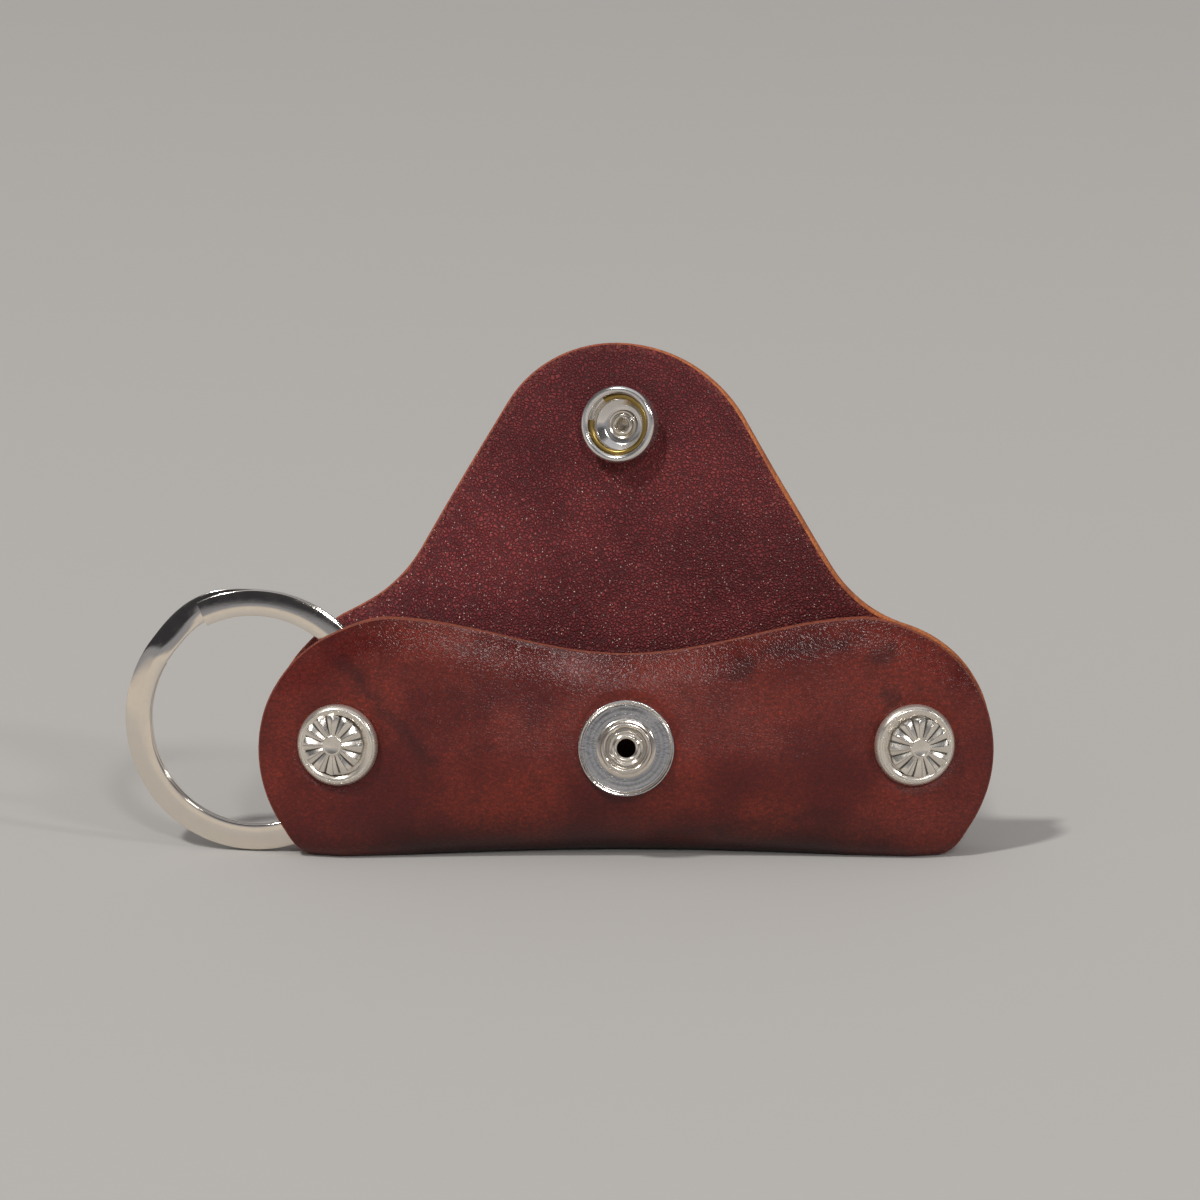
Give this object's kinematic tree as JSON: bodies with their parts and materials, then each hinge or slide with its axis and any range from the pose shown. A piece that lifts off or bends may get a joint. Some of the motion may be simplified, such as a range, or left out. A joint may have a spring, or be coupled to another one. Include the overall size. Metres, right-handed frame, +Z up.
{
  "type": "leather key case",
  "caption": "Folded leather key case with a flap that closes by a ring snap, end rivets with fluted caps, and a split key ring on one rivet.",
  "frame": {"origin": "on the table, at the middle of the footprint of case and ring together", "axes": "+X to the viewer's right along the fold, +Y away from the viewer, +Z up"},
  "size_m": [0.1188, 0.0285, 0.0677],
  "materials": {
    "leather": "smooth reddish-brown grain side, pebbly flesh side, raw tan edges",
    "cap_nickel": "satin nickel plate",
    "disc_nickel": "bright nickel plate on embossed flutes",
    "rivet_steel": "plain plated steel",
    "snap_nickel": "bright nickel plate",
    "spring_brass": "bare spring wire",
    "ring_nickel": "polished nickel plate"
  },
  "bodies": {
    "case": {"case_leather": "leather", "fold_strip": "leather", "left_bezel": "cap_nickel", "left_rosette": "disc_nickel", "left_post": "rivet_steel", "left_back_cap": "cap_nickel", "right_bezel": "cap_nickel", "right_rosette": "disc_nickel", "right_post": "rivet_steel", "right_back_cap": "cap_nickel", "stud_washer": "snap_nickel", "snap_stud": "snap_nickel", "stud_eyelet": "snap_nickel"},
    "flap": {"flap_leather": "leather", "snap_socket": "snap_nickel", "socket_spring": "spring_brass", "socket_post": "rivet_steel", "flap_bezel": "cap_nickel", "flap_rosette": "disc_nickel"},
    "ring": {"key_ring": "ring_nickel"}
  },
  "joints": [
    {"name": "flap_fold", "type": "hinge", "parent": "case", "child": "flap", "pos_m": [0.0093, -0.00284, 0.03679], "axis": [0.9873, -0.136, 0.0827], "range_deg": [-30, 178.2], "deforming": ["fold_strip"]},
    {"name": "ring_swing", "type": "hinge", "parent": "case", "child": "ring", "pos_m": [-0.02918, -0.00449, 0.01544], "axis": [-0.1108, -0.9844, 0.137], "range_deg": [-65, 0]}
  ]
}
